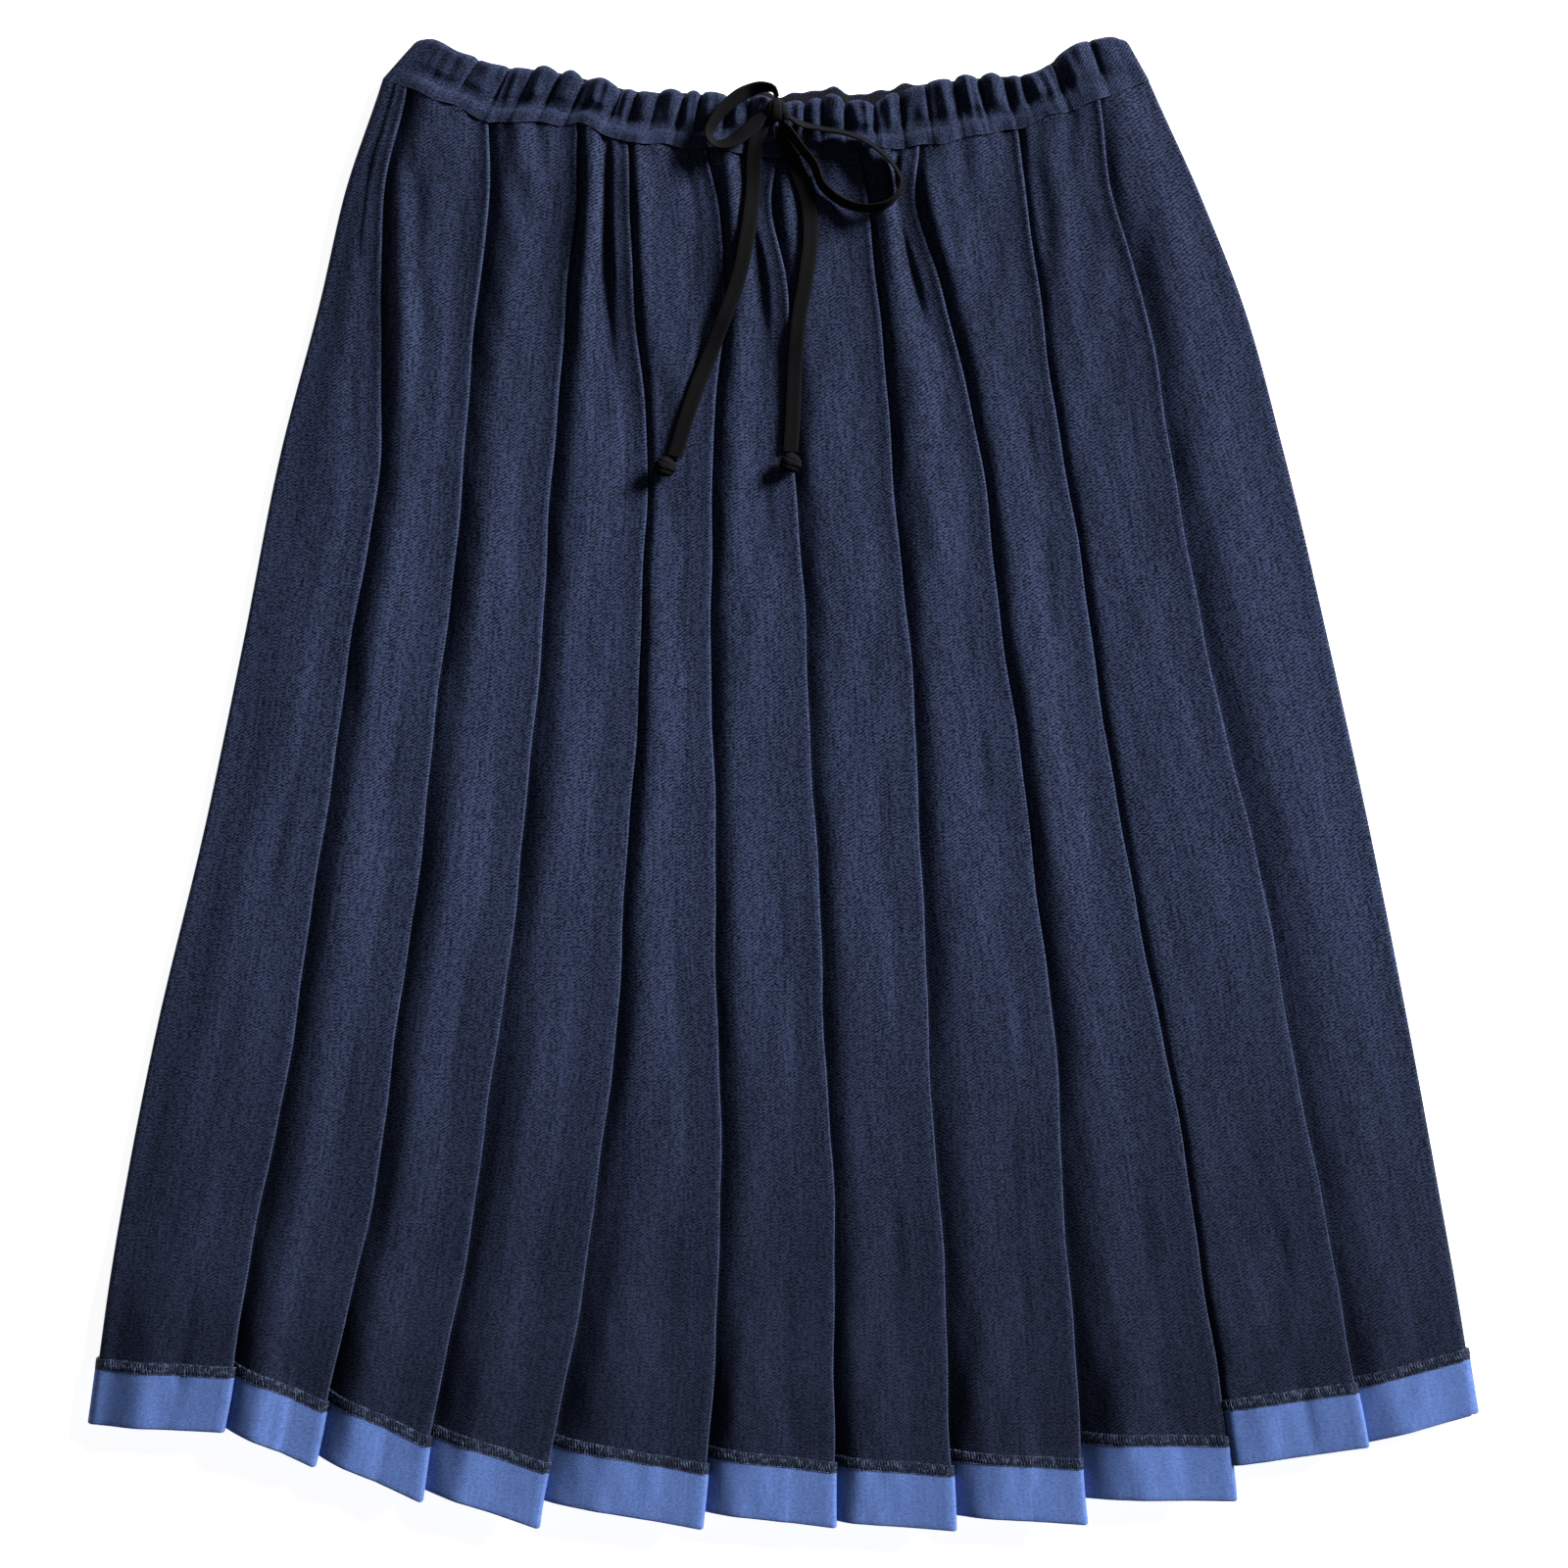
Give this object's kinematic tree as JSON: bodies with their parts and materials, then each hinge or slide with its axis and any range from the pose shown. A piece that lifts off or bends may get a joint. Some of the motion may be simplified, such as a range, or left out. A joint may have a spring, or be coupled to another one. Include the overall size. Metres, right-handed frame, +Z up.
{
  "type": "midi skirt",
  "caption": "Pleated denim midi skirt laid flat, with a gathered elastic waistband, a drawstring tied in a bow and a turned-up hem that shows the cloth's light reverse.",
  "frame": {"origin": "on the surface that the skirt lies on, under the middle of its outline", "axes": "+X across the skirt towards the right side seen from above, +Y from hem to waist, +Z up from the surface through the back and then the front"},
  "size_m": [0.6796, 0.7322, 0.0182],
  "materials": {
    "navy_twill": "dark indigo cotton twill with lengthwise streaks, matt",
    "light_reverse": "light blue reverse face of the same twill, matt",
    "drawstring": "near-black woven cotton tape, matt"
  },
  "bodies": {
    "root": {"front_panel": "navy_twill", "back_panel": "navy_twill", "waistband": "navy_twill", "hem_turnup_front": "light_reverse", "hem_turnup_back": "light_reverse", "bow_knot": "drawstring", "bow_loop_left": "drawstring", "bow_loop_right": "drawstring", "tail_left": "drawstring", "tail_right": "drawstring", "tail_knot_left": "drawstring", "tail_knot_right": "drawstring"}
  },
  "joints": []
}
